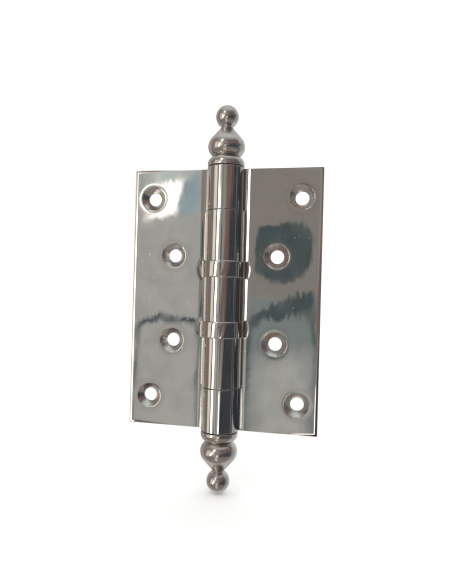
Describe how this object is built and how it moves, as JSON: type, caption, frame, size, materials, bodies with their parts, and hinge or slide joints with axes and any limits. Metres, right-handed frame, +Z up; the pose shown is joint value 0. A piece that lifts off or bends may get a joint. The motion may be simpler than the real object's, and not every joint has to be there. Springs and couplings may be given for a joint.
{
  "type": "ball-bearing butt hinge with finials",
  "caption": "Polished butt hinge: two square-cornered leaves with staggered countersunk holes, a barrel with bearing collars, and turned urn finials.",
  "frame": {"origin": "On the pin's axis, at the middle of the barrel. This is the centre of the bounding box.", "axes": "+Z up along the pin. +X towards the jamb leaf, which has three knuckles. -Y towards the countersunk faces, which is the way the barrel stands proud."},
  "size_m": [0.075, 0.0168, 0.1502],
  "materials": {
    "polished_nickel": "polished plate with fine wiping scratches",
    "bearing_steel": "ground",
    "cage_brass": "turned"
  },
  "bodies": {
    "jamb": {"jamb_leaf": "polished_nickel", "upper_bearing_sleeve": "polished_nickel", "upper_bearing_bottom_race": "bearing_steel", "lower_bearing_sleeve": "polished_nickel", "lower_bearing_top_race": "bearing_steel"},
    "door": {"door_leaf": "polished_nickel", "upper_bearing_top_race": "bearing_steel", "lower_bearing_bottom_race": "bearing_steel"},
    "pin": {"hinge_pin": "bearing_steel", "top_finial": "polished_nickel", "bottom_finial": "polished_nickel"},
    "upper_cage": {"upper_ball_cage": "cage_brass", "upper_ball_01": "bearing_steel", "upper_ball_02": "bearing_steel", "upper_ball_03": "bearing_steel", "upper_ball_04": "bearing_steel", "upper_ball_05": "bearing_steel", "upper_ball_06": "bearing_steel", "upper_ball_07": "bearing_steel", "upper_ball_08": "bearing_steel", "upper_ball_09": "bearing_steel", "upper_ball_10": "bearing_steel"},
    "lower_cage": {"lower_ball_cage": "cage_brass", "lower_ball_01": "bearing_steel", "lower_ball_02": "bearing_steel", "lower_ball_03": "bearing_steel", "lower_ball_04": "bearing_steel", "lower_ball_05": "bearing_steel", "lower_ball_06": "bearing_steel", "lower_ball_07": "bearing_steel", "lower_ball_08": "bearing_steel", "lower_ball_09": "bearing_steel", "lower_ball_10": "bearing_steel"}
  },
  "joints": [
    {"name": "leaf_swing", "type": "hinge", "parent": "jamb", "child": "door", "pos_m": [0, 0, 0], "axis": [0, 0, 1], "range_deg": [-90, 180]},
    {"name": "pin_turn", "type": "hinge", "parent": "jamb", "child": "pin", "pos_m": [0, 0, 0], "axis": [0, 0, 1], "continuous": true},
    {"name": "upper_cage_turn", "type": "hinge", "parent": "jamb", "child": "upper_cage", "pos_m": [0, 0, 0], "axis": [0, 0, 1], "range_deg": [-45, 90]},
    {"name": "lower_cage_turn", "type": "hinge", "parent": "jamb", "child": "lower_cage", "pos_m": [0, 0, 0], "axis": [0, 0, 1], "range_deg": [-45, 90]}
  ],
  "couplings": [
    {"joint": "upper_cage_turn", "follows": "leaf_swing", "ratio": 0.5},
    {"joint": "lower_cage_turn", "follows": "leaf_swing", "ratio": 0.5}
  ]
}
